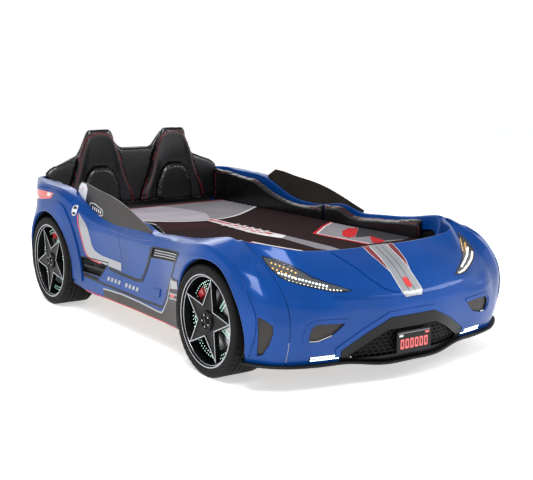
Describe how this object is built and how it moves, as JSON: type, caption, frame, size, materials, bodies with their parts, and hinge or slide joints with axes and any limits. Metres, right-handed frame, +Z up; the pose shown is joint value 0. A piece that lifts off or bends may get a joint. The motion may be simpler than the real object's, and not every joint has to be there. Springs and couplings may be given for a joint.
{
  "type": "race car bed",
  "caption": "Race-car bed with a glossy shell, decorative wheels, padded sides and a twin-seat headboard around a lift-out mattress.",
  "frame": {"origin": "centre of the bounding box at the floor", "axes": "+Z up, the car front faces -Y, the headboard is at +Y, X across"},
  "size_m": [1.3116, 2.3315, 0.843],
  "materials": {
    "body_blue": "glossy metallic blue",
    "smoked_plastic": "smoky grey-brown gloss",
    "clear_lens": "clear polycarbonate",
    "black_gloss": "gloss",
    "led_white": "lit diffuser",
    "vent_brown": "satin dark brown",
    "black_matte": "satin",
    "red_lens": "red and clear lens",
    "sill_grey": "grey-brown with a silver outline",
    "plate_black": "satin with red figures",
    "tyre_rubber": "moulded tread",
    "rim_dark": "dark grey with bright edges",
    "disc_steel": "perforated",
    "caliper_red": "gloss red",
    "board_black": "black melamine board",
    "black_leather": "black leatherette with red stitching",
    "mattress_cover": "printed fabric cover",
    "slat_wood": "plain softwood",
    "bolt_steel": "zinc plated",
    "button_red": "gloss red"
  },
  "bodies": {
    "bed": {"front_shell": "body_blue", "front_side_panel_left": "body_blue", "front_side_panel_right": "body_blue", "rear_side_panel_left": "body_blue", "rear_side_panel_right": "body_blue", "rear_shell": "body_blue", "side_window_left": "smoked_plastic", "side_window_right": "smoked_plastic", "headlight_lens_left": "clear_lens", "headlight_lens_right": "clear_lens", "headlight_housing_left": "black_gloss", "headlight_housing_right": "black_gloss", "fog_lights": "led_white", "bumper_vents": "vent_brown", "fender_vents": "vent_brown", "side_vents": "black_matte", "rear_scoops": "black_matte", "tail_light_left": "red_lens", "tail_light_right": "red_lens", "sills": "sill_grey", "front_splitter": "black_matte", "grille_frame": "black_gloss", "grille_mesh": "black_matte", "number_plate": "plate_black", "tyre_front_left": "tyre_rubber", "tyre_front_right": "tyre_rubber", "tyre_rear_left": "tyre_rubber", "tyre_rear_right": "tyre_rubber", "rim_front_left": "rim_dark", "rim_front_right": "rim_dark", "rim_rear_left": "rim_dark", "rim_rear_right": "rim_dark", "brake_discs": "disc_steel", "calipers": "caliper_red", "wheel_leds": "led_white", "wheel_liners": "black_matte", "headboard_panel": "board_black", "headboard_pad": "black_leather", "seat_back_left": "black_leather", "seat_back_right": "black_leather", "lumbar_pad_left": "black_leather", "lumbar_pad_right": "black_leather", "side_pad_rear_left": "black_leather", "side_pad_rear_right": "black_leather", "side_pad_front_left": "black_leather", "side_pad_front_right": "black_leather", "side_rail_left": "board_black", "side_rail_right": "board_black", "foot_board": "board_black", "head_rail": "board_black", "slats": "slat_wood", "slat_ledgers": "slat_wood", "centre_beam": "slat_wood", "centre_legs": "slat_wood", "rail_feet": "board_black", "frame_bolts": "bolt_steel", "shell_brackets": "bolt_steel", "control_box": "black_matte"},
    "mattress_body": {"mattress": "mattress_cover"},
    "button_body": {"power_button": "button_red"}
  },
  "joints": [
    {"name": "mattress_lift", "type": "slide", "parent": "bed", "child": "mattress_body", "axis": [0, 0, 1], "range_m": [0, 0.4]},
    {"name": "button_press", "type": "slide", "parent": "bed", "child": "button_body", "axis": [0, -1, 0], "range_m": [0, 0.003], "stiffness_N_per_m": 300}
  ]
}
